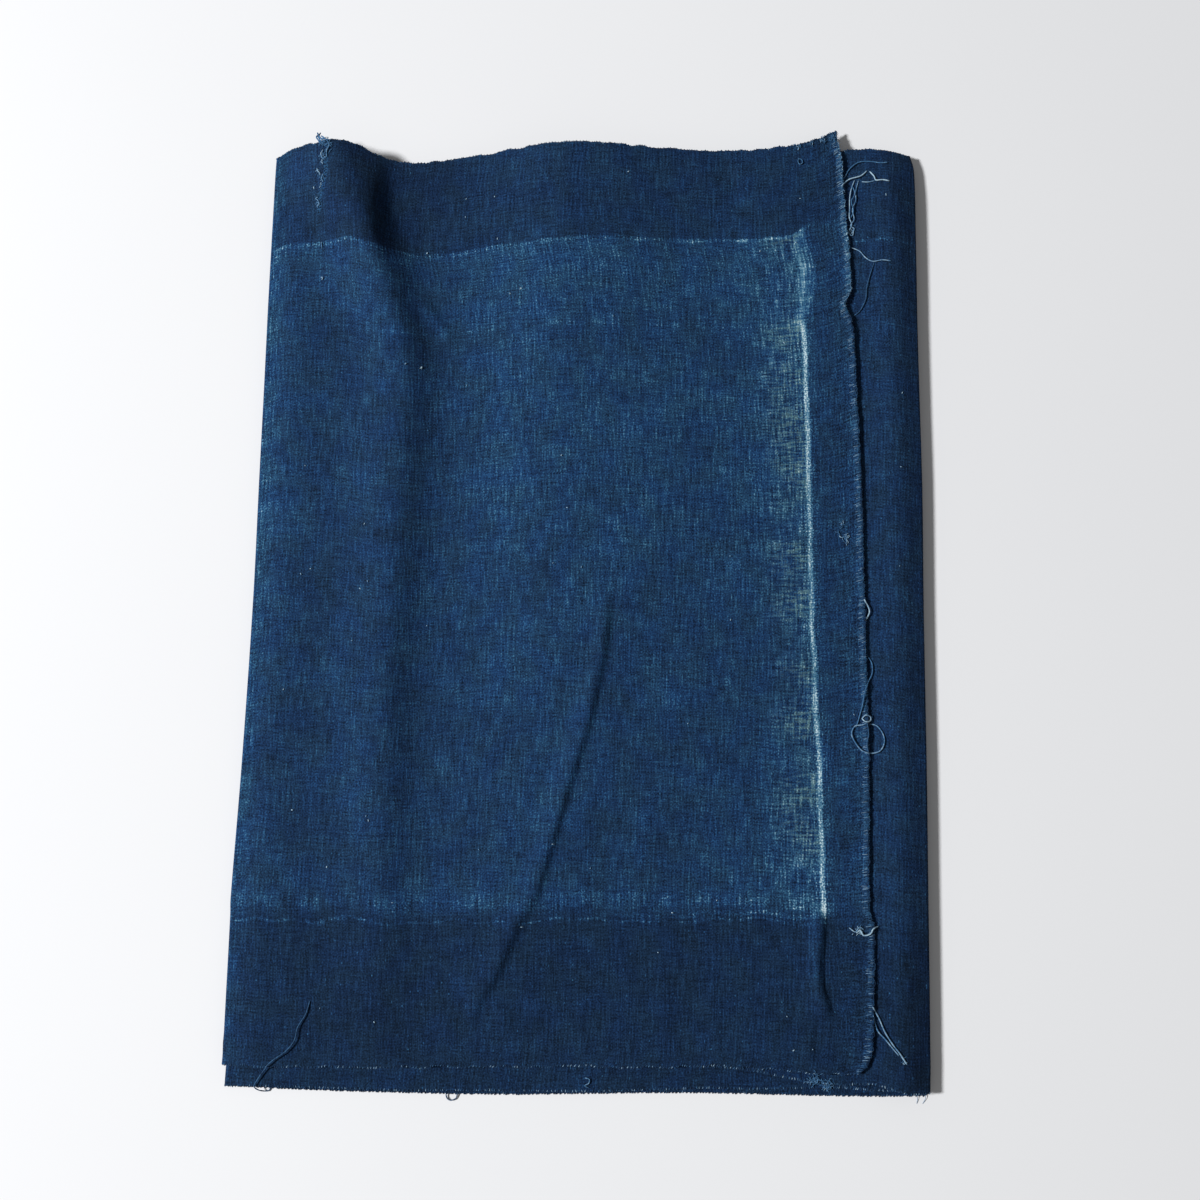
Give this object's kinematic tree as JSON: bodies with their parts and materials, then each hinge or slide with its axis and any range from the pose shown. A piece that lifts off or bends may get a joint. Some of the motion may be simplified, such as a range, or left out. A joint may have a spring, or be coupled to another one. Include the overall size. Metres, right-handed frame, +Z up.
{
  "type": "folded cloth",
  "caption": "Length of plain-woven indigo-dyed cotton, folded back and forth into a flat stack, with finished selvedges, a frayed raw edge and worn crease lines.",
  "frame": {"origin": "centre of the stack's box, on the surface that the stack lies on", "axes": "+Z up, out of the top layer; +Y across the loom width, from the lower selvedge to the upper one; +X along the folded length, towards the raw edge"},
  "size_m": [0.2466, 0.3566, 0.0154],
  "materials": {
    "dyed_cotton": "matt plain weave, worn and faded in places"
  },
  "bodies": {
    "root": {"cloth": "dyed_cotton"}
  },
  "joints": []
}
